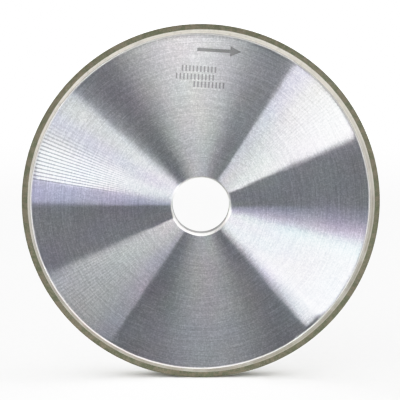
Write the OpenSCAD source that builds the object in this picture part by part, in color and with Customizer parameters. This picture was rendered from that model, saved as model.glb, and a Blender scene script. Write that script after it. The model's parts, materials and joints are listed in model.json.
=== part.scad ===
// Diamond grinding wheel: a turned aluminium core with a resin bonded diamond layer round its edge.
// The wheel's axis lies along Y, the marked face looks toward -Y and +Z is up.
// The origin is the centre of the bore, half way between the two faces. All lengths are in mm.

/* [Wheel] */

// Outside diameter of the wheel
wheel_d = 200; // [180:1:220]
// Width of the wheel across the two faces of its rim
wheel_w = 10; // [8:0.5:16]
// Diameter of the bore that fits the grinder's spindle
bore_d = 31.75; // [20:0.05:50]
// Size of the 45 degree chamfer at each end of the bore
bore_chamfer = 1; // [0.5:0.1:1.5]

/* [Rim] */

// Radial depth of the diamond layer
abrasive_depth = 3.2; // [2:0.1:6]
// Mean radial depth of the diamond free layer under the diamond layer
backing_depth = 1.8; // [1.8:0.1:4]
// Chamfer along both outside edges of the diamond layer
rim_edge_break = 0.2; // [0.1:0.05:0.5]
// Thickness of the bonding coat round the edge of the core
coat_t = 0.2; // [0.15:0.05:0.3]

/* [Core] */

// Depth by which each flat face of the core lies below the faces of the rim
relief_depth = 0.45; // [0.2:0.05:1]
// Width of the flat lip left round the edge of the core
lip_w = 0.1; // [0.1:0.05:0.5]
// Distance of the core's edge off the axis of the wheel, toward -X
core_offset = 0.4; // [0.1:0.1:1]
// Number of keying grooves turned into the edge of the core
groove_n = 2; // [1:1:2]
// Width of each keying groove
groove_w = 1.4; // [1:0.1:2]
// Depth of each keying groove
groove_depth = 0.8; // [0.4:0.1:2]

/* [Marking] */

// Depth of the strokes engraved in the marked face
mark_depth = 0.1; // [0.05:0.05:0.15]
// Distance from the edge of the relieved face to the middle of the direction arrow
mark_inset = 8.2; // [6:0.2:20]
// Length of the direction arrow
arrow_l = 24; // [12:1:26]
// Height of the engraved strokes in the rows under the arrow
stroke_h = 3.2; // [2:0.1:3.4]
// Angle by which the whole marking is turned clockwise about the axis
mark_turn = 3.5; // [0:0.5:180]

/* [Hidden] */

round_fn = 360;
eps = 1;

wheel_r = wheel_d / 2;
half_w = wheel_w / 2;
bore_r = bore_d / 2;
backing_r = wheel_r - abrasive_depth;
coat_r = backing_r - backing_depth;
core_r = coat_r - coat_t;
face_z = half_w - relief_depth;
lip_r = core_r - lip_w;
relief_r = lip_r - relief_depth;
groove_pitch = wheel_w / (groove_n + 1);
arrow_z = relief_r - mark_inset;

// Direction arrow: height of the shaft and of the head, and length of the head
arrow_shaft_h = 1.8;
arrow_head_h = 5.6;
arrow_head_l = 6;
arrow_x = 4.7;

// Rows of strokes: middle of the row across, its distance below the arrow, number and width of its strokes
row_table = [[-5.7, 10.4, 10, 0.9], [-7.7, 14.8, 11, 0.8], [0.2, 18.8, 9, 0.9]];
stroke_pitch = 2;

colour_core = [0.80, 0.81, 0.83];
colour_coat = [0.24, 0.21, 0.18];
colour_backing = [0.80, 0.77, 0.71];
colour_abrasive = [0.46, 0.45, 0.37];

// Middle of keying groove i across the width of the wheel
function groove_z(i) = -half_w + groove_pitch * (i + 1);

// Outline of the core's edge grown outward by g, from the back face to the front face
function edge_points(g) = concat(
    [[core_r + g, -half_w]],
    [for (i = [0 : groove_n - 1]) each [
        [core_r + g, groove_z(i) - groove_w / 2 + g],
        [core_r + g - groove_depth, groove_z(i) - groove_w / 2 + g],
        [core_r + g - groove_depth, groove_z(i) + groove_w / 2 - g],
        [core_r + g, groove_z(i) + groove_w / 2 - g]
    ]],
    [[core_r + g, half_w]]
);

function reversed(points) = [for (i = [len(points) - 1 : -1 : 0]) points[i]];

// Turns the wheel from lying on its back face to standing on its rim
module upright() {
    rotate([90, 0, 0]) children();
}

// Places a piece that shares the centre of the core's edge
module on_core_centre() {
    translate([-core_offset, 0, 0]) children();
}

// Turned disc with relieved faces and keying grooves, before it is bored
module core_blank() {
    rotate_extrude($fn = round_fn)
        polygon(concat(
            [[0, face_z], [0, -face_z], [relief_r, -face_z], [lip_r, -half_w]],
            edge_points(0),
            [[lip_r, half_w], [relief_r, face_z]]
        ));
}

// Material removed by the bore and its two chamfers
module bore_cut() {
    mouth = bore_r + bore_chamfer;
    rotate_extrude($fn = round_fn)
        polygon([
            [0, -face_z - eps], [mouth + eps, -face_z - eps], [bore_r, -face_z + bore_chamfer],
            [bore_r, face_z - bore_chamfer], [mouth + eps, face_z + eps], [0, face_z + eps]
        ]);
}

// Plain arrow that shows the direction of rotation
module arrow_cut() {
    head_x = arrow_l / 2 - arrow_head_l;
    translate([arrow_x, arrow_z, face_z - mark_depth])
        linear_extrude(mark_depth + eps)
            polygon([
                [-arrow_l / 2, -arrow_shaft_h / 2], [head_x, -arrow_shaft_h / 2],
                [head_x, -arrow_head_h / 2], [arrow_l / 2, 0], [head_x, arrow_head_h / 2],
                [head_x, arrow_shaft_h / 2], [-arrow_l / 2, arrow_shaft_h / 2]
            ]);
}

// Row of plain upright strokes
module stroke_row(row) {
    first_x = row[0] - stroke_pitch * (row[2] - 1) / 2 - row[3] / 2;
    low_z = arrow_z - row[1] - stroke_h / 2;
    for (i = [0 : row[2] - 1])
        translate([first_x + i * stroke_pitch, low_z, face_z - mark_depth])
            cube([row[3], stroke_h, mark_depth + eps]);
}

// Aluminium core: bored and chamfered disc with the marking in its front face
module core() {
    color(colour_core) upright() difference() {
        on_core_centre() core_blank();
        bore_cut();
        rotate([0, 0, -mark_turn]) {
            arrow_cut();
            for (row = row_table) stroke_row(row);
        }
    }
}

// Dark bonding coat that lines the edge of the core and its keying grooves
module bond_coat() {
    color(colour_coat) upright() on_core_centre()
        rotate_extrude($fn = round_fn)
            polygon(concat(edge_points(coat_t), reversed(edge_points(0))));
}

// Pale diamond free layer moulded round the coated core
module backing_ring() {
    color(colour_backing) upright() difference() {
        translate([0, 0, -half_w]) cylinder(h = wheel_w, r = backing_r, $fn = round_fn);
        on_core_centre() rotate_extrude($fn = round_fn)
            polygon(concat(
                [[0, half_w + eps], [0, -half_w - eps], [coat_r, -half_w - eps]],
                edge_points(coat_t),
                [[coat_r, half_w + eps]]
            ));
    }
}

// Diamond layer in resin bond that does the grinding
module abrasive_rim() {
    color(colour_abrasive) upright() rotate_extrude($fn = round_fn)
        polygon([
            [backing_r, -half_w], [wheel_r - rim_edge_break, -half_w], [wheel_r, -half_w + rim_edge_break],
            [wheel_r, half_w - rim_edge_break], [wheel_r - rim_edge_break, half_w], [backing_r, half_w]
        ]);
}

core();
bond_coat();
backing_ring();
abrasive_rim();
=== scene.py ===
"""Looks of the diamond grinding wheel.

It has a turned aluminium core, a pale backing layer and an olive diamond layer. It stands on a plain floor
under soft studio light. Lengths are in metres and colours are linear, unless a comment says otherwise.
"""

import json
import math
from types import SimpleNamespace

import bmesh
import bpy
import numpy as np
from mathutils import Matrix, Vector


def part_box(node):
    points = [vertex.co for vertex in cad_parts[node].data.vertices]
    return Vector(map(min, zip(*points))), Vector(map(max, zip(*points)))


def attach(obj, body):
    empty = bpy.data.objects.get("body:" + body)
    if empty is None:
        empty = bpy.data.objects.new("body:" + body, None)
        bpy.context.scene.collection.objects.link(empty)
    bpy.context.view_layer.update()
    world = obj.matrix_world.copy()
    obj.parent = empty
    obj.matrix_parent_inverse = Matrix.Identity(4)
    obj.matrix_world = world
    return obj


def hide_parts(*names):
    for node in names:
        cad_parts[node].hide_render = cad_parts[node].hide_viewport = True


MM = 0.001
FULL_TURN = 2 * math.pi
DEGREES = 180 / math.pi

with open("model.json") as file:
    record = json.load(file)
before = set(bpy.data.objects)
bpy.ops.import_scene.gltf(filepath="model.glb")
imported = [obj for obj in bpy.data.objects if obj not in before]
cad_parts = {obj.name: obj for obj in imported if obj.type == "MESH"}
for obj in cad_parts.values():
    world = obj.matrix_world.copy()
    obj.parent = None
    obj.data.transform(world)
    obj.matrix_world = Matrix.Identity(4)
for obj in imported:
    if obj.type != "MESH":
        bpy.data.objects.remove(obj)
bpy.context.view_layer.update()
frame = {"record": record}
mounts = {m["name"]: m for m in frame["record"]["mounts"]}

# ---------------------------------------------------------------- dimensions

rim_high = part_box("abrasive_rim")[1]
coat_low, coat_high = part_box("bond_coat")
core_low, core_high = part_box("core")

WHEEL_R = round(rim_high.z, 4)
HALF_W = rim_high.y
BACKING_R = round(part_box("backing_ring")[1].x, 4)
COAT_R = round((coat_high.x - coat_low.x) / 2, 4)
CORE_R = round((core_high.x - core_low.x) / 2, 4)
CORE_SHIFT = round((core_high.x + core_low.x) / 2, 5)
FACE_Y = abs(mounts["front_clamp_face"]["pos_m"][1])
BORE_R = mounts["bore"]["dims"]["r_mm"] * MM
BORE_HALF = mounts["bore"]["dims"]["length_mm"] * MM / 2
BORE_MOUTH_R = BORE_R + FACE_Y - BORE_HALF
LIP_WIDTH = 0.1 * MM
LIP_R = CORE_R - LIP_WIDTH
RELIEF_R = LIP_R - (HALF_W - FACE_Y)
FLOOR_Z = -WHEEL_R

# -------------------------------------------------------------------- camera

CAMERA_AT = Vector((-0.0041, -0.5204, 0.0867))
CAMERA_AHEAD = Vector((0.0068, 0.9872, -0.1595))
CAMERA_LENS = 84.3
SENSOR_WIDTH = 36
NEAREST, FARTHEST = 0.01, 50
# Film response as pairs of light and brightness: straight up to the bright greys, then a soft shoulder, so
# that highlights keep their shape
FILM_RESPONSE = [(0.0, 0.0), (0.6, 0.6), (0.9, 0.84), (1.2, 0.955), (1.6, 1.0)]


def link(thing):
    bpy.context.scene.collection.objects.link(thing)
    return thing


def add_camera():
    camera = link(bpy.data.objects.new("camera", bpy.data.cameras.new("camera")))
    camera.location = CAMERA_AT
    camera.rotation_mode = "QUATERNION"
    camera.rotation_quaternion = CAMERA_AHEAD.to_track_quat("-Z", "Y")
    camera.data.sensor_width = SENSOR_WIDTH
    camera.data.lens = CAMERA_LENS
    camera.data.clip_start = NEAREST
    camera.data.clip_end = FARTHEST
    bpy.context.scene.camera = camera


def set_film():
    view = bpy.context.scene.view_settings
    view.view_transform = "Standard"
    view.look = "None"
    view.use_curve_mapping = True
    brightest, full = FILM_RESPONSE[-1]
    view.curve_mapping.white_level = (brightest, brightest, brightest)
    curve = view.curve_mapping.curves[3]
    curve.points[0].location = FILM_RESPONSE[0]
    curve.points[1].location = (1.0, full)
    for light, shown in FILM_RESPONSE[1:-1]:
        curve.points.new(light / brightest, shown)
    view.curve_mapping.update()


add_camera()
set_film()

# --------------------------------------------------------------- node helpers


class Graph:
    """Short names for building a node tree. Numbers, colours and sockets are all accepted as inputs."""

    def __init__(self, tree):
        self.tree = tree
        tree.nodes.clear()

    def add(self, kind, inputs=(), **settings):
        made = self.tree.nodes.new(kind)
        for key, value in settings.items():
            setattr(made, key, value)
        for key, value in dict(inputs).items():
            self.feed(made.inputs[key], value)
        return made

    def feed(self, socket, value):
        if isinstance(value, bpy.types.NodeSocket):
            self.tree.links.new(value, socket)
        elif socket.type == "RGBA" and len(value) == 3:
            socket.default_value = (*value, 1)
        else:
            socket.default_value = value

    def math(self, operation, a, b=0.0, c=0.0):
        made = self.add("ShaderNodeMath", operation=operation)
        for i, value in enumerate((a, b, c)):
            self.feed(made.inputs[i], value)
        return made.outputs[0]

    def times(self, a, b):
        return self.math("MULTIPLY", a, b)

    def vector(self, operation, a, b=None, scale=None):
        made = self.add("ShaderNodeVectorMath", {0: a}, operation=operation)
        if b is not None:
            self.feed(made.inputs[1], b)
        if scale is not None:
            self.feed(made.inputs[3], scale)
        return made.outputs["Value"] if operation == "LENGTH" else made.outputs["Vector"]

    def mix(self, share, a, b, blend="MIX"):
        made = self.add("ShaderNodeMix", data_type="RGBA", blend_type=blend)
        for i, value in ((0, share), (6, a), (7, b)):
            self.feed(made.inputs[i], value)
        return made.outputs[2]

    def multiply(self, a, b):
        """Product of two colours."""
        return self.mix(1.0, a, b, "MULTIPLY")

    def grey(self, value):
        return self.add("ShaderNodeCombineColor", {0: value, 1: value, 2: value}).outputs[0]

    def red_green_blue(self, colour):
        return self.add("ShaderNodeSeparateColor", {0: colour}).outputs

    def ramp(self, value, low, high, out_low=0.0, out_high=1.0, kind="SMOOTHSTEP"):
        made = self.add("ShaderNodeMapRange", interpolation_type=kind)
        for i, v in enumerate((value, low, high, out_low, out_high)):
            self.feed(made.inputs[i], v)
        return made.outputs[0]

    def window(self, value, low, high, soft_low, soft_high):
        """1 between low and high, falling softly to 0 outside."""
        rise = self.ramp(value, low - soft_low / 2, low + soft_low / 2)
        fall = self.ramp(value, high - soft_high / 2, high + soft_high / 2, 1, 0)
        return self.times(rise, fall)

    def noise(self, vector, size, detail=2.0, roughness=0.5, distortion=0.0):
        """Noise in 0 to 1 whose features are about size across."""
        inputs = {"Vector": vector, "Scale": 1 / size, "Detail": detail}
        inputs.update({"Roughness": roughness, "Distortion": distortion})
        return self.add("ShaderNodeTexNoise", inputs).outputs[0]

    def lines(self, distance, size, detail=2.0):
        """Noise along one distance only, for tool lines about size apart."""
        inputs = {"W": self.times(distance, 1 / size), "Scale": 1.0, "Detail": detail}
        return self.add("ShaderNodeTexNoise", inputs, noise_dimensions="1D").outputs[0]

    def cells(self, vector, size):
        """Distance from the nearest of many scattered points, and a random colour for each point."""
        made = self.add("ShaderNodeTexVoronoi", {"Vector": vector, "Scale": 1 / size})
        return made.outputs["Distance"], made.outputs["Color"]

    def bump(self, height, strength, distance):
        inputs = {"Strength": strength, "Distance": distance, "Height": height}
        return self.add("ShaderNodeBump", inputs).outputs[0]

    def surface(self, **inputs):
        """Principled shader. Underscores in the names stand for spaces."""
        named = {name.replace("_", " "): value for name, value in inputs.items()}
        return self.add("ShaderNodeBsdfPrincipled", named).outputs[0]

    def output(self, shader, kind="Material"):
        self.add("ShaderNodeOutput" + kind, {"Surface": shader})


def wheel_place(g):
    """Where a point lies on the wheel.

    radius and angle are taken round the wheel's axis, y runs along it, and along is the direction of the tool
    lines.
    """
    position = g.add("ShaderNodeTexCoord").outputs["Object"]
    x, y, z = g.add("ShaderNodeSeparateXYZ", {0: position}).outputs
    radius = g.math("SQRT", g.math("ADD", g.times(x, x), g.times(z, z)))
    angle = g.math("ARCTAN2", z, x)
    along = g.add("ShaderNodeCombineXYZ", {"X": g.times(z, -1), "Z": x}).outputs[0]
    along = g.vector("NORMALIZE", along)
    return SimpleNamespace(position=position, radius=radius, angle=angle, along=along, y=y)


def polar(g, at, width, length):
    """Coordinates with features about width across at the rim and about length long along the radius."""
    flat = g.vector("MULTIPLY", at.position, (1, 0, 1))
    flat = g.vector("NORMALIZE", flat)
    turns = g.vector("SCALE", flat, scale=RELIEF_R / width)
    out = g.add("ShaderNodeCombineXYZ", {"Y": g.times(at.radius, 1 / length)}).outputs[0]
    return g.vector("ADD", turns, out)


def start_material(name):
    material = bpy.data.materials.new(name)
    material.use_nodes = True
    g = Graph(material.node_tree)
    return material, g, wheel_place(g)


# ---------------------------------------------------------- turned aluminium

ALUMINIUM = (0.93, 0.935, 0.945)
ALUMINIUM_GAIN = 1.28
# How widely the turned finish spreads a reflection across the tool lines, and how sharp it is along them
TOOL_SPREAD, TOOL_SHARPNESS = 0.40, 0.0145
# Least and most share of the turned finish. Torn grain and specks scatter the rest of the light as haze
TOOL_SHARE = (0.72, 0.975)
HAZE_ROUGHNESS = (0.46, 0.54)
TORN_TONE = (0.25, 1.35)
# Specks are also painted brighter than the metal round them, a painted glint
SPECK_SIZE, SPECK_HAZE, SPECK_PAINTED_GLINT = 1.6 * MM, 0.62, 0.8
# Tool lines: spacing of the fine and the coarse ones, size and amount of their wander, and depth
FINE_PITCH, COARSE_PITCH = 0.55 * MM, 2.2 * MM
WANDER_SIZE, WANDER_BY = 22 * MM, 4 * MM
COARSE_DEPTH = 0.012 * MM
# Width across the radius and length along it of the short streaks, the short arcs and the drifting tints
STREAK, ARC, DRIFT = (0.9 * MM, 6 * MM), (10 * MM, 0.6 * MM), (35 * MM, 30 * MM)
GRAIN_SIZE, CLOUD_SIZE = 0.8 * MM, 20 * MM
# How much each kind of mark darkens the metal
TONE_DEPTHS = {"fine": 0.12, "coarse": 0.09, "arcs": 0.17, "streaks": 0.10, "grain": 0.22}
CLOUD_TONE = (0.96, 1.0)
TINT = 0.14
# How far the short arcs turn the tool lines off their course
TURN_OFF = 0.07
# Chatter marks: degrees from one line to the next, and patches as degrees from and to, softness of both
# ends and strength
CHATTER_PITCH = 1.3
CHATTER = [(155, 171, 15, 1.5, 1.0), (33, 46, 6, 8, 0.16), (206, 224, 4, 8, 0.20)]
CHATTER_BRIGHT, CHATTER_DARK = 0.42, -0.42


def chatter_marks(g, at):
    """Brightness of the close radial lines, which lie in parts of the marked face."""
    turn = g.math("FLOORED_MODULO", g.times(at.angle, DEGREES), 360)
    wave = g.math("SINE", g.times(turn, FULL_TURN / CHATTER_PITCH))
    wave = g.ramp(wave, -0.6, 1.0, CHATTER_BRIGHT, CHATTER_DARK)
    place = 0.0
    for *patch, strength in CHATTER:
        place = g.math("ADD", place, g.times(g.window(turn, *patch), strength))
    place = g.times(place, g.ramp(at.radius, 0.3 * RELIEF_R, 0.75 * RELIEF_R))
    on_front = g.ramp(at.y, -0.5 * FACE_Y, 0, 1, 0)
    return g.math("MULTIPLY_ADD", wave, g.times(place, on_front), 1.0)


def tool_direction(g, at, arcs):
    """Direction of the tool lines, each of which runs a hair off its neighbours."""
    out = g.vector("CROSS_PRODUCT", at.along, (0, 1, 0))
    off = g.times(g.math("SUBTRACT", arcs, 0.5), TURN_OFF)
    return g.vector("ADD", at.along, g.vector("SCALE", out, scale=off))


def metal_specks(g, at):
    """1 at the middle of scattered specks, which are denser toward the bore."""
    distance, colour = g.cells(at.position, SPECK_SIZE)
    speck = g.ramp(distance, 0.12, 0.30, 1, 0)
    speck = g.times(speck, g.ramp(g.red_green_blue(colour)[0], 0.42, 0.82))
    return g.times(speck, g.ramp(at.radius, 0.25 * RELIEF_R, 0.8 * RELIEF_R, 1.0, 0.35))


def aluminium():
    material, g, at = start_material("turned_aluminium")
    cut = g.math("ADD", at.radius, g.times(g.noise(at.position, WANDER_SIZE, 2), WANDER_BY))
    marks = {
        "fine": g.lines(cut, FINE_PITCH, 2),
        "coarse": g.lines(cut, COARSE_PITCH, 3),
        "arcs": g.noise(polar(g, at, *ARC), 1, 2, 0.6),
        "streaks": g.noise(polar(g, at, *STREAK), 1, 2, 0.6),
        "grain": g.noise(at.position, GRAIN_SIZE, 1, 0.7),
    }
    cloud = g.noise(at.position, CLOUD_SIZE, 4, 0.6)
    tone = g.ramp(cloud, 0.3, 0.7, *CLOUD_TONE)
    for name, depth in TONE_DEPTHS.items():
        tone = g.times(tone, g.ramp(marks[name], 0.3, 0.7, 1 - depth, 1.0, "LINEAR"))
    tone = g.times(tone, chatter_marks(g, at))
    colour = g.multiply(ALUMINIUM, g.grey(g.times(tone, ALUMINIUM_GAIN)))

    # The close tool lines split light a little, so tints drift over the face
    drift = g.add("ShaderNodeTexNoise", {"Vector": polar(g, at, *DRIFT), "Scale": 1.0, "Detail": 1.0})
    colour = g.multiply(colour, g.mix(TINT, (1, 1, 1), drift.outputs["Color"]))

    bump = g.bump(marks["coarse"], 1.0, COARSE_DEPTH)
    turned = g.add(
        "ShaderNodeBsdfAnisotropic",
        {
            "Color": colour,
            "Roughness": math.sqrt(math.sqrt(TOOL_SHARPNESS * TOOL_SPREAD)),
            "Anisotropy": 1 - math.sqrt(TOOL_SHARPNESS / TOOL_SPREAD),
            "Normal": bump,
            "Tangent": tool_direction(g, at, marks["arcs"]),
        },
        distribution="BECKMANN",
    ).outputs[0]
    speck = metal_specks(g, at)
    torn_tone_and_glint = g.ramp(marks["grain"], 0.30, 0.72, *TORN_TONE, "LINEAR")
    # Painted glint: specks get a brighter colour
    torn_tone_and_glint = g.times(torn_tone_and_glint, g.math("MULTIPLY_ADD", speck, SPECK_PAINTED_GLINT, 1.0))
    haze = g.surface(
        Base_Color=g.multiply(colour, g.grey(torn_tone_and_glint)),
        Metallic=1.0,
        Roughness=g.ramp(cloud, 0.2, 0.8, *HAZE_ROUGHNESS),
        Normal=bump,
    )
    share = g.ramp(marks["grain"], 0.35, 0.70, TOOL_SHARE[1], TOOL_SHARE[0], "LINEAR")
    share = g.math("SUBTRACT", share, g.times(speck, SPECK_HAZE))
    g.output(g.add("ShaderNodeMixShader", {0: share, 1: haze, 2: turned}).outputs[0])
    return material


# --------------------------------------------------- other faces of the core

FEED_PITCH, FEED_DEPTH, WEAR_SIZE = 0.7 * MM, 0.03 * MM, 1.2 * MM
FEED_SHADE = 0.6
ETCH_SIZE, ETCH_DEPTH = 0.4 * MM, 0.03 * MM


def cut_edge(name, bare, dark, light):
    """Cut aluminium. bare is the share of clean metal, and the rest is a matt film of bond and dust."""
    material, g, at = start_material(name)
    feed = g.lines(at.y, FEED_PITCH, 3)
    wear = g.noise(at.position, WEAR_SIZE, 3, 0.6)
    shade = tuple(FEED_SHADE * value for value in dark)
    colour = g.mix(g.ramp(wear, 0.1, 0.9), dark, light)
    colour = g.mix(g.ramp(feed, 0.42, 0.70, 0, 0.55), colour, shade)
    shader = g.surface(
        Base_Color=colour,
        Metallic=bare,
        Roughness=g.ramp(wear, 0.3, 0.7, 0.38, 0.55),
        Specular_IOR_Level=0.2,
        Normal=g.bump(feed, 0.4, FEED_DEPTH),
    )
    g.output(shader)
    return material


def etched(name, dark, light):
    """Matt floor of the engraved marks."""
    material, g, at = start_material(name)
    grain = g.noise(at.position, ETCH_SIZE, 3, 0.7)
    shader = g.surface(
        Base_Color=g.mix(g.ramp(grain, 0.3, 0.7), g.grey(dark), g.grey(light)),
        Roughness=g.ramp(grain, 0.3, 0.7, 0.55, 0.75),
        Specular_IOR_Level=0.3,
        Normal=g.bump(grain, 0.5, ETCH_DEPTH),
    )
    g.output(shader)
    return material


# -------------------------------------------------------------- diamond layer

PATCH_SIZE, RESIN_GRAIN, GRIT_SIZE = 3.5 * MM, 0.45 * MM, 0.42 * MM
LOADED_SIZE, DRESSING_PITCH, PIT_SIZE = 11 * MM, 0.8 * MM, 0.8 * MM
RESIN_ROUGHNESS, GLINT_ROUGHNESS = 0.78, 0.4
GRIT_BUMP = 0.12 * MM
# Where the face darkens toward the rim's edge, and where the ground surface begins
EDGE_DARKENS = (WHEEL_R - 1.1 * MM, WHEEL_R + 0.1 * MM)
GROUND_FROM = (WHEEL_R - 0.3 * MM, WHEEL_R - 0.1 * MM)
OLIVE, BROWN = (0.084, 0.094, 0.051), (0.152, 0.131, 0.088)
PALE_GRAIN, DARK_GRAIN, DARK_EDGE = (0.23, 0.22, 0.175), (0.055, 0.056, 0.038), (0.07, 0.073, 0.052)
WORN_OLIVE, WORN_BROWN, WORN_PATCH = (0.095, 0.102, 0.058), (0.198, 0.174, 0.120), (0.128, 0.124, 0.080)
# The pits' dark colour is painted shade inside them
DRESSING, PIT_SHADE, BARE_GRAIN = (0.062, 0.064, 0.044), (0.045, 0.045, 0.034), (0.36, 0.35, 0.29)
GLINT = (0.62, 0.62, 0.55)


def ground_surface(g, at, patches):
    """Colour of the surface that grinds: loaded patches, dressing lines, pits in painted shade and bare
    grains.
    """
    loaded = g.noise(at.position, LOADED_SIZE, 4, 0.6, 0.6)
    dressing = g.lines(at.y, DRESSING_PITCH, 3)
    distance, kind = g.cells(at.position, PIT_SIZE)
    pit = g.ramp(distance, 0.15, 0.42, 1, 0)
    kind = g.red_green_blue(kind)
    worn = g.mix(g.ramp(loaded, 0.42, 0.62), WORN_OLIVE, WORN_BROWN)
    worn = g.mix(g.ramp(patches, 0.42, 0.62, 0, 0.7), worn, WORN_PATCH)
    worn = g.mix(g.ramp(dressing, 0.50, 0.68, 0, 0.45), worn, DRESSING)
    # Painted shade in the pits
    worn = g.mix(g.times(pit, g.ramp(kind[0], 0.70, 0.95, 0, 0.8)), worn, PIT_SHADE)
    return g.mix(g.times(pit, g.ramp(kind[1], 0.80, 1.0, 0, 0.6)), worn, BARE_GRAIN)


def diamond_layer():
    material, g, at = start_material("diamond_layer")
    patches = g.noise(at.position, PATCH_SIZE, 5, 0.7)
    grain = g.noise(at.position, RESIN_GRAIN, 3, 0.75)
    colour = g.mix(g.ramp(patches, 0.38, 0.62), OLIVE, BROWN)
    colour = g.mix(g.ramp(grain, 0.55, 0.72, 0, 0.6), colour, PALE_GRAIN)
    colour = g.mix(g.ramp(grain, 0.28, 0.42, 0.6, 0), colour, DARK_GRAIN)
    near_edge = g.ramp(at.radius, *EDGE_DARKENS, 0, 0.45)
    colour = g.mix(near_edge, colour, DARK_EDGE)
    outside = g.ramp(at.radius, *GROUND_FROM)
    colour = g.mix(g.times(outside, 0.85), colour, ground_surface(g, at, patches))

    distance, kind = g.cells(at.position, GRIT_SIZE)
    glint = g.ramp(distance, 0.16, 0.24, 1, 0)
    glint = g.times(glint, g.ramp(g.red_green_blue(kind)[0], 0.86, 0.9))
    height = g.math("SUBTRACT", grain, g.times(distance, 0.5))
    shader = g.surface(
        Base_Color=g.mix(g.times(glint, 0.55), colour, GLINT),
        Roughness=g.ramp(glint, 0, 1, RESIN_ROUGHNESS, GLINT_ROUGHNESS),
        Metallic=g.times(glint, 0.6),
        Specular_IOR_Level=0.3,
        Normal=g.bump(height, 0.8, GRIT_BUMP),
    )
    g.output(shader)
    return material


# ------------------------------------------------ backing layer and bond coat

# The backing layer is cleanest in this direction, in degrees, and most stained opposite to it
CLEANEST = 105
STAIN_SIZE, MOTTLE_SIZE, FILLER_SIZE = 2.2 * MM, 12 * MM, 0.3 * MM
SMEAR = (6 * MM, 0.6 * MM)
FILLER_BUMP = 0.06 * MM
# The darker band in the middle of the layer: from and to, and softness of both edges
MIDDLE_FROM, MIDDLE_TO = BACKING_R - 1.45 * MM, BACKING_R - 0.45 * MM
MIDDLE_SOFT = (0.5 * MM, 0.4 * MM)
STAINED, CLEAN = (0.335, 0.31, 0.26), (0.70, 0.67, 0.595)
MIDDLE_BAND, STAIN, SMEARED = (0.215, 0.19, 0.155), (0.33, 0.275, 0.225), (0.24, 0.21, 0.175)
PALE_MOTTLE, FILLER = (0.80, 0.77, 0.70), (0.84, 0.82, 0.77)
COAT_GRAIN, COAT_BUMP = 0.6 * MM, 0.04 * MM
# The bond coat's dark colour is partly painted shadow along the join of the core and the backing layer
COAT_AND_SHADOW_DARK, COAT_AND_SHADOW_LIGHT = (0.16, 0.15, 0.14), (0.26, 0.24, 0.22)


def backing_layer():
    material, g, at = start_material("backing_layer")
    side = g.math("COSINE", g.math("SUBTRACT", at.angle, math.radians(CLEANEST)))
    clean = g.ramp(side, -0.9, 0.9)
    stain = g.noise(at.position, STAIN_SIZE, 4, 0.7)
    mottle = g.noise(at.position, MOTTLE_SIZE, 3, 0.6)
    filler = g.noise(at.position, FILLER_SIZE, 2, 0.6)
    smear = g.noise(polar(g, at, *SMEAR), 1, 3, 0.65)
    middle = g.window(at.radius, MIDDLE_FROM, MIDDLE_TO, *MIDDLE_SOFT)
    middle = g.times(middle, g.ramp(clean, 0.1, 0.9, 0.7, 0.12))
    colour = g.mix(clean, STAINED, CLEAN)
    colour = g.mix(middle, colour, MIDDLE_BAND)
    colour = g.mix(g.ramp(stain, 0.5, 0.75, 0, 0.5), colour, STAIN)
    colour = g.mix(g.ramp(smear, 0.52, 0.75, 0, 0.45), colour, SMEARED)
    colour = g.mix(g.ramp(mottle, 0.4, 0.7, 0, 0.25), colour, PALE_MOTTLE)
    colour = g.mix(g.ramp(filler, 0.55, 0.8, 0, 0.3), colour, FILLER)
    shader = g.surface(
        Base_Color=colour,
        Roughness=g.ramp(stain, 0.3, 0.7, 0.5, 0.68),
        Normal=g.bump(g.math("ADD", filler, stain), 0.5, FILLER_BUMP),
    )
    g.output(shader)
    return material


def bond_coat():
    material, g, at = start_material("bond_coat")
    grain = g.noise(at.position, COAT_GRAIN, 3, 0.6)
    # Dark coat colour, partly painted shadow along the join
    shader = g.surface(
        Base_Color=g.mix(g.ramp(grain, 0.3, 0.7), COAT_AND_SHADOW_DARK, COAT_AND_SHADOW_LIGHT),
        Roughness=g.ramp(grain, 0.3, 0.7, 0.5, 0.65),
        Normal=g.bump(grain, 0.4, COAT_BUMP),
    )
    g.output(shader)
    return material


# -------------------------------------------------------------------- lathing

RING_SEGMENTS, RIM_SEGMENTS = 720, 1440
# Edges sharper than this many degrees stay sharp
SHARP_ANGLE, RIM_SHARP_ANGLE = 28, 50
# Where the innermost rows of each profile lie, as a share of its half width
INNER_ROW = 0.3


def lathe(name, profile, material, segments, shift=None, wave=None):
    """A closed ring turned round the Y axis.

    profile is a closed loop of (radius, y). shift(radius) is a ring's distance off the axis along X.
    wave(radius, angles) gives a change in radius at each angle.
    """
    angles = np.arange(segments) * FULL_TURN / segments
    rings = []
    for radius, y in profile:
        r = np.full(segments, radius)
        if wave is not None:
            r = r + wave(radius, angles)
        x = r * np.cos(angles) + (shift(radius) if shift else 0)
        rings.append(np.stack([x, np.full(segments, y), r * np.sin(angles)], 1))
    faces = []
    for i in range(len(profile)):
        a = i * segments
        b = (i + 1) % len(profile) * segments
        for j in range(segments):
            k = (j + 1) % segments
            faces.append((a + j, a + k, b + k, b + j))
    mesh = bpy.data.meshes.new(name)
    mesh.from_pydata(np.concatenate(rings).tolist(), [], faces)
    bm = bmesh.new()
    bm.from_mesh(mesh)
    bmesh.ops.recalc_face_normals(bm, faces=bm.faces)
    bm.to_mesh(mesh)
    bm.free()
    mesh.materials.append(material)
    return link(bpy.data.objects.new(name, mesh))


def finish_shading(piece, angle=SHARP_ANGLE):
    piece.data.polygons.foreach_set("use_smooth", [True] * len(piece.data.polygons))
    piece.data.set_sharp_from_angle(angle=math.radians(angle))


def both_sides(points):
    """Loop out along the front half and back along the mirrored back half. y counts from the middle."""
    return [(r, -y) for r, y in points] + [(r, y) for r, y in reversed(points)]


def between(a, b, count):
    """count points from a towards b, a included and b left out."""
    steps = [i / count for i in range(count)]
    return [(a[0] + (b[0] - a[0]) * step, a[1] + (b[1] - a[1]) * step) for step in steps]


def clamp(share):
    return min(max(share, 0), 1)


# ----------------------------------------------------------------------- core

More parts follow.
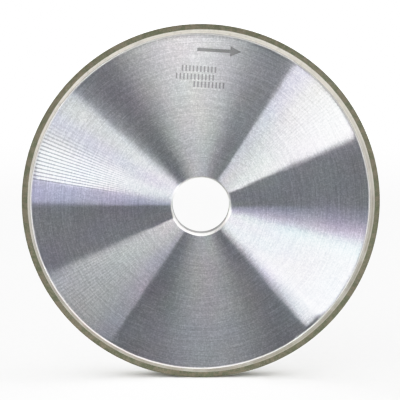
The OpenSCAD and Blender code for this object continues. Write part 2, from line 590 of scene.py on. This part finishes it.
core_materials = [
    aluminium(),
    # The bore wall's darker colour range is painted shade inside the bore
    cut_edge("bored_aluminium_painted_shade", 0.35, (0.27, 0.27, 0.268), (0.40, 0.40, 0.395)),
    cut_edge("bore_chamfer", 0.12, (0.46, 0.45, 0.43), (0.68, 0.67, 0.65)),
    cut_edge("step_wall", 0.0, (0.60, 0.585, 0.56), (0.78, 0.77, 0.75)),
    etched("etched_arrow", 0.16, 0.25),
    etched("etched_strokes", 0.27, 0.40),
]
TURNED, BORED, CHAMFER, STEP_WALL, ARROW_MARK, STROKE_MARK = range(6)

# Size of the softened edges between the core's surfaces
EDGE = 0.1 * MM


def core_profile():
    """Bore wall, chamfer, relieved face, sloped wall and lip, then the edge under the bond coat."""
    points = [
        (BORE_R, INNER_ROW * BORE_HALF),
        (BORE_R, BORE_HALF - 2 * EDGE),
        (BORE_R, BORE_HALF - 0.6 * EDGE),
        (BORE_R + 0.25 * EDGE, BORE_HALF),
        (BORE_R + 0.8 * EDGE, BORE_HALF + 0.8 * EDGE),
        (BORE_MOUTH_R - 1.2 * EDGE, FACE_Y - 1.2 * EDGE),
        (BORE_MOUTH_R - 0.4 * EDGE, FACE_Y - 0.5 * EDGE),
        (BORE_MOUTH_R + 0.6 * EDGE, FACE_Y),
        (BORE_MOUTH_R + 3 * EDGE, FACE_Y),
    ]
    points += between((BORE_MOUTH_R + 10 * EDGE, FACE_Y), (RELIEF_R - 3 * EDGE, FACE_Y), 12)
    points += [
        (RELIEF_R - 3 * EDGE, FACE_Y),
        (RELIEF_R - 0.5 * EDGE, FACE_Y),
        (RELIEF_R + 0.6 * EDGE, FACE_Y + 0.6 * EDGE),
        (LIP_R - 0.6 * EDGE, HALF_W - 0.6 * EDGE),
        (LIP_R, HALF_W),
        (CORE_R, HALF_W),
        (CORE_R, INNER_ROW * HALF_W),
    ]
    return both_sides(points)


def core_shift(radius):
    """The bore is on the axis and the core's edge is a little off it."""
    return CORE_SHIFT * clamp((radius - BORE_MOUTH_R) / (RELIEF_R - BORE_MOUTH_R))


def turned_core():
    made = lathe("core_turned", core_profile(), core_materials[TURNED], RING_SEGMENTS, core_shift)
    for extra in core_materials[1:]:
        made.data.materials.append(extra)
    for face in made.data.polygons:
        is_outer = face.center.xz.length > 0.5 * CORE_R
        out = math.hypot(face.center.x - CORE_SHIFT * is_outer, face.center.z)
        if out < BORE_R + 0.1 * EDGE:
            face.material_index = BORED
        elif out < BORE_MOUTH_R - 0.1 * EDGE:
            face.material_index = CHAMFER
        elif out > RELIEF_R - 0.2 * EDGE:
            face.material_index = STEP_WALL
    return made


# Marking: a plain direction arrow and rows of plain strokes, engraved in the front face. Their measures are
# in mm across and up the face. A row is its middle across, its middle up, how many strokes, and their width
MARK_DEPTH = 0.1 * MM
# How far the cutter stands out of the face
CUTTER_CLEAR = 1 * MM
MARK_TURN = math.radians(3.5)
ARROW_MIDDLE = (4.7, 86.05)
ARROW_LENGTH, ARROW_SHAFT, ARROW_HEAD, ARROW_HEAD_LENGTH = 24.0, 1.8, 5.6, 6.0
STROKE_ROWS = [(-5.7, 75.65, 10, 0.9), (-7.7, 71.25, 11, 0.8), (0.2, 67.25, 9, 0.9)]
STROKE_PITCH, STROKE_HEIGHT = 2.0, 3.2


def arrow_outline():
    x, z = ARROW_MIDDLE
    tip = x + ARROW_LENGTH / 2
    back = x - ARROW_LENGTH / 2
    neck = tip - ARROW_HEAD_LENGTH
    return [
        (back, z - ARROW_SHAFT / 2),
        (neck, z - ARROW_SHAFT / 2),
        (neck, z - ARROW_HEAD / 2),
        (tip, z),
        (neck, z + ARROW_HEAD / 2),
        (neck, z + ARROW_SHAFT / 2),
        (back, z + ARROW_SHAFT / 2),
    ]


def stroke_outlines():
    outlines = []
    for middle, z, count, width in STROKE_ROWS:
        low = z - STROKE_HEIGHT / 2
        high = z + STROKE_HEIGHT / 2
        for i in range(count):
            x = middle + (i - (count - 1) / 2) * STROKE_PITCH
            left = x - width / 2
            right = x + width / 2
            outlines.append([(left, low), (right, low), (right, high), (left, high)])
    return outlines


def engraving():
    """One mesh of closed prisms that cut the marking."""
    bm = bmesh.new()
    turn = Matrix.Rotation(MARK_TURN, 3, "Y")
    deep = -FACE_Y + MARK_DEPTH
    outside = -FACE_Y - CUTTER_CLEAR
    marks = [(arrow_outline(), ARROW_MARK)] + [(outline, STROKE_MARK) for outline in stroke_outlines()]
    for outline, mark in marks:
        low = [bm.verts.new(turn @ Vector((x * MM, deep, z * MM))) for x, z in outline]
        high = [bm.verts.new(turn @ Vector((x * MM, outside, z * MM))) for x, z in outline]
        made = [bm.faces.new(low), bm.faces.new(high[::-1])]
        for i in range(len(outline)):
            k = (i + 1) % len(outline)
            made.append(bm.faces.new((low[i], high[i], high[k], low[k])))
        for face in made:
            face.material_index = mark
    bmesh.ops.recalc_face_normals(bm, faces=bm.faces)
    mesh = bpy.data.meshes.new("engraving")
    bm.to_mesh(mesh)
    bm.free()
    for material in core_materials:
        mesh.materials.append(material)
    return link(bpy.data.objects.new("engraving", mesh))


def engrave(piece):
    cutter = engraving()
    cut = piece.modifiers.new("engrave", "BOOLEAN")
    cut.operation = "DIFFERENCE"
    cut.object = cutter
    cut.solver = "EXACT"
    cut.material_mode = "INDEX"
    bpy.context.view_layer.update()
    evaluated = piece.evaluated_get(bpy.context.evaluated_depsgraph_get())
    engraved = bpy.data.meshes.new_from_object(evaluated)
    piece.modifiers.clear()
    piece.data = engraved
    bpy.data.objects.remove(cutter)


core = turned_core()
engrave(core)
finish_shading(core)

# ------------------------------------------------------- layers round the core

# The join between the diamond and backing layers wanders in and out: waves as mm, count round the wheel and
# start, and an offset in mm toward an angle in degrees
BOUNDARY_WAVES = [(0.05, 5, 0.7), (0.04, 13, 2.1), (0.03, 29, 4.0), (0.02, 67, 1.3)]
BOUNDARY_OFFSET, BOUNDARY_OFFSET_AT = 0.26, 55
# Wear of the diamond layer: depth of its rough outside, and size of its rounded corners
GRIT_DEPTH = 0.035 * MM
BREAK = 0.25 * MM
rng = np.random.default_rng(7)


def boundary_wave(angles):
    wave = BOUNDARY_OFFSET * np.cos(angles - math.radians(BOUNDARY_OFFSET_AT))
    for size, count, start in BOUNDARY_WAVES:
        wave = wave + size * np.sin(count * angles + start)
    return MM * wave


def coat_line():
    """Thin dark line between the core and the backing layer: a bond coat, its dark colour partly painted
    shadow.
    """
    points = [(CORE_R, INNER_ROW * HALF_W), (CORE_R, HALF_W), (COAT_R, HALF_W), (COAT_R, INNER_ROW * HALF_W)]
    made = lathe("bond_coat_and_shadow_line", both_sides(points), bond_coat(), RING_SEGMENTS, lambda radius: CORE_SHIFT)
    finish_shading(made)
    return made


def backing_shift(radius):
    """The inside is centred on the core's edge and the outside on the wheel's axis."""
    return CORE_SHIFT * clamp((BACKING_R - radius) / (BACKING_R - COAT_R))


def backing_wave(radius, angles):
    if radius > BACKING_R - 0.01 * MM:
        return boundary_wave(angles)
    return np.zeros_like(angles)


def backing_ring():
    points = [(COAT_R, INNER_ROW * HALF_W), (COAT_R, HALF_W)]
    points += between((COAT_R + 0.2 * MM, HALF_W), (BACKING_R, HALF_W), 4)
    points += [(BACKING_R, HALF_W), (BACKING_R, INNER_ROW * HALF_W)]
    profile = both_sides(points)
    made = lathe("backing_layer", profile, backing_layer(), RING_SEGMENTS, backing_shift, backing_wave)
    finish_shading(made)
    return made


def rim_wave(radius, angles):
    if radius < BACKING_R + 0.01 * MM:
        return boundary_wave(angles)
    if radius > WHEEL_R - 0.35 * MM:
        return -GRIT_DEPTH * rng.random(len(angles)) ** 2
    return np.zeros_like(angles)


def diamond_ring():
    """Gritty ring with worn corners."""
    points = [(BACKING_R, INNER_ROW * HALF_W), (BACKING_R, HALF_W)]
    points += between((BACKING_R + 0.5 * MM, HALF_W), (WHEEL_R - 0.45 * MM, HALF_W), 4)
    points += [
        (WHEEL_R - 0.45 * MM, HALF_W),
        (WHEEL_R - BREAK, HALF_W - 0.02 * MM),
        (WHEEL_R - 0.3 * BREAK, HALF_W - 0.3 * BREAK),
        (WHEEL_R, HALF_W - BREAK),
    ]
    points += between((WHEEL_R, HALF_W - 0.6 * MM), (WHEEL_R, 0.2 * MM), 9)
    made = lathe("diamond_layer", both_sides(points), diamond_layer(), RIM_SEGMENTS, None, rim_wave)
    finish_shading(made, RIM_SHARP_ANGLE)
    return made


for piece, node, slot in (
    (core, "core", "core"),
    (coat_line(), "bond_coat", "bond_coat"),
    (backing_ring(), "backing_ring", "backing"),
    (diamond_ring(), "abrasive_rim", "abrasive"),
):
    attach(piece, "root")
    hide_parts(node)

# ---------------------------------------------------------------------- floor

FLOOR_RADIUS, FLOOR_SEGMENTS = 1.6, 96
# Share of the radius at which the floor begins to fade
FADE_FROM = 0.35
PAPER_GRAIN, PAPER_ROUGHNESS = 4 * MM, 0.5
FLOOR_DARK, FLOOR_LIGHT = (0.90, 0.90, 0.895), (0.93, 0.93, 0.925)


def floor_material():
    """Pale paper that fades out into the surround."""
    material = bpy.data.materials.new("floor")
    material.use_nodes = True
    g = Graph(material.node_tree)
    position = g.add("ShaderNodeTexCoord").outputs["Object"]
    away = g.vector("LENGTH", g.vector("MULTIPLY", position, (1, 1, 0)))
    grain = g.noise(position, PAPER_GRAIN, 3, 0.6)
    colour = g.mix(g.ramp(grain, 0.2, 0.8), FLOOR_DARK, FLOOR_LIGHT)
    paper = g.add("ShaderNodeBsdfDiffuse", {"Color": colour, "Roughness": PAPER_ROUGHNESS}).outputs[0]
    clear = g.add("ShaderNodeBsdfTransparent").outputs[0]
    fade = g.ramp(away, FADE_FROM * FLOOR_RADIUS, FLOOR_RADIUS)
    g.output(g.add("ShaderNodeMixShader", {0: fade, 1: paper, 2: clear}).outputs[0])
    return material


def add_floor():
    mesh = bpy.data.meshes.new("floor")
    bm = bmesh.new()
    bmesh.ops.create_circle(bm, cap_ends=True, segments=FLOOR_SEGMENTS, radius=FLOOR_RADIUS)
    bmesh.ops.translate(bm, verts=bm.verts, vec=(0, 0, FLOOR_Z))
    bm.to_mesh(mesh)
    bm.free()
    mesh.materials.append(floor_material())
    made = link(bpy.data.objects.new("floor", mesh))
    made.visible_glossy = False
    made.visible_shadow = False


add_floor()

# --------------------------------------------------------------- studio light

# Direction in which the wheel's face mirrors the camera. Angles round the wheel are taken about it
MIRROR_X, MIRROR_Z = 0.008, -0.166
# Soft studio lights for reflections, all angles in degrees: angles round the wheel from and to, softness of
# both ends, angles out from the wheel's axis from and to, strength and colour. 0 is toward +X and 90 is up
LIGHTS = [
    (24.9, 56.8, 3.0, 1.5, 53, 76, 20.0, (1.0, 1.0, 1.0)),
    (24.6, 44.0, 3.0, 22.0, 62, 82, 22.0, (1.0, 1.0, 1.0)),
    (60.0, 84.0, 10.0, 14.0, 78, 87, 75.0, (1.0, 1.0, 1.0)),
    (79.0, 110.5, 28.0, 32.0, 54, 76, 25.5, (1.0, 1.0, 0.97)),
    (139.1, 170.7, 1.0, 0.6, 50, 75, 3.0, (1.0, 0.99, 1.0)),
    (156.0, 170.7, 11.0, 0.6, 75, 86, 125.0, (1.0, 1.0, 1.0)),
    (170.7, 178.7, 0.6, 1.2, 50, 75, 5.2, (1.0, 1.0, 1.5)),
    (311.3, 318.6, 1.0, 1.6, 79, 88, 200.0, (0.96, 0.99, 1.05)),
    (317.3, 347.8, 1.6, 17.0, 54, 78, 18.0, (0.95, 0.98, 1.05)),
    (181.0, 205.0, 4.0, 4.0, 50, 75, 0.3, (1.0, 1.0, 1.0)),
    (8.0, 172.0, 16.0, 16.0, 84, 96, 1.5, (1.0, 1.0, 1.0)),
    (190.0, 350.0, 20.0, 20.0, 84, 96, 0.45, (1.0, 1.0, 0.98)),
]
# Small coloured lights, laid out like LIGHTS, which give the marked face's bright sectors their faint tints
TINTS = [
    (43.5, 49.0, 3.0, 3.0, 55, 75, 3.0, (1.0, 1.0, 0.3)),
    (50.0, 56.5, 4.0, 1.5, 50, 70, 3.0, (0.4, 0.3, 1.3)),
    (139.0, 147.0, 2.0, 6.0, 62, 82, 6.0, (1.0, 0.97, 0.1)),
    (146.0, 151.5, 3.0, 3.0, 50, 70, 2.0, (0.55, 0.3, 1.3)),
    (341.0, 346.5, 3.0, 3.0, 55, 78, 4.0, (0.2, 1.0, 1.0)),
    (347.0, 353.0, 3.0, 3.0, 55, 78, 2.0, (1.0, 0.3, 1.2)),
]
# How much of LIGHTS and of TINTS there is behind the wheel, kept low so that its back face isn't washed out
LIGHTS_BEHIND, TINTS_BEHIND = 0.4, 0.05
OUTWARD_SOFTNESS = 5
# Even light between the studio lights, and dark cards that cut it: angles round the wheel from and to,
# softness of both ends, and how much they cut
BASE_LIGHT = (0.108, 0.113, 0.137)
CARDS = [
    (0.0, 18.0, 6.0, 6.0, 0.45),
    (130.5, 137.5, 3.0, 1.0, 1.0),
    (236.0, 256.0, 4.0, 10.0, 0.5),
    (288.0, 310.0, 16.0, 2.0, 0.75),
]
# Light on matt surfaces from the room and from its ceiling, and the brightness of the pale surround
ROOM_LIGHT, CEILING_LIGHT = 0.55, 1.3
SURROUND = (1.6, 1.6, 1.6)


def reflected_light(g, dx, dy, dz):
    """What polished surfaces see in each direction."""
    across = g.math("SUBTRACT", dx, MIRROR_X)
    up = g.math("SUBTRACT", dz, MIRROR_Z)
    around = g.math("FLOORED_MODULO", g.times(g.math("ARCTAN2", up, across), DEGREES), 360)
    sideways = g.math("SQRT", g.math("ADD", g.times(dx, dx), g.times(dz, dz)))
    outward = g.times(g.math("ARCTAN2", sideways, g.math("ABSOLUTE", dy)), DEGREES)
    shaded = 1.0
    for *card, cut_share in CARDS:
        shaded = g.math("SUBTRACT", shaded, g.times(g.window(around, *card), cut_share))
    total = g.multiply(BASE_LIGHT, g.grey(shaded))
    for lights, share_behind in ((LIGHTS, LIGHTS_BEHIND), (TINTS, TINTS_BEHIND)):
        depth = g.ramp(dy, -0.1, 0.1, 1.0, share_behind)
        for start, end, soft_start, soft_end, near, far, strength, colour in lights:
            share = g.window(around, start, end, soft_start, soft_end)
            share = g.times(share, g.window(outward, near, far, OUTWARD_SOFTNESS, OUTWARD_SOFTNESS))
            share = g.times(g.times(share, strength), depth)
            total = g.mix(1.0, total, g.multiply(colour, g.grey(share)), "ADD")
    return total


def add_studio():
    world = bpy.data.worlds.new("studio")
    bpy.context.scene.world = world
    world.use_nodes = True
    g = Graph(world.node_tree)
    direction = g.add("ShaderNodeTexCoord").outputs["Generated"]
    dx, dy, dz = g.add("ShaderNodeSeparateXYZ", {0: direction}).outputs
    room = g.grey(g.math("ADD", g.ramp(dz, 0.25, 0.9, 0, CEILING_LIGHT), ROOM_LIGHT))
    path = g.add("ShaderNodeLightPath")
    seen = g.mix(path.outputs["Is Diffuse Ray"], reflected_light(g, dx, dy, dz), room)
    seen = g.mix(path.outputs["Is Camera Ray"], seen, SURROUND)
    g.output(g.add("ShaderNodeBackground", {"Color": seen, "Strength": 1.0}).outputs[0], "World")
    world.cycles.sampling_method = "NONE"


add_studio()
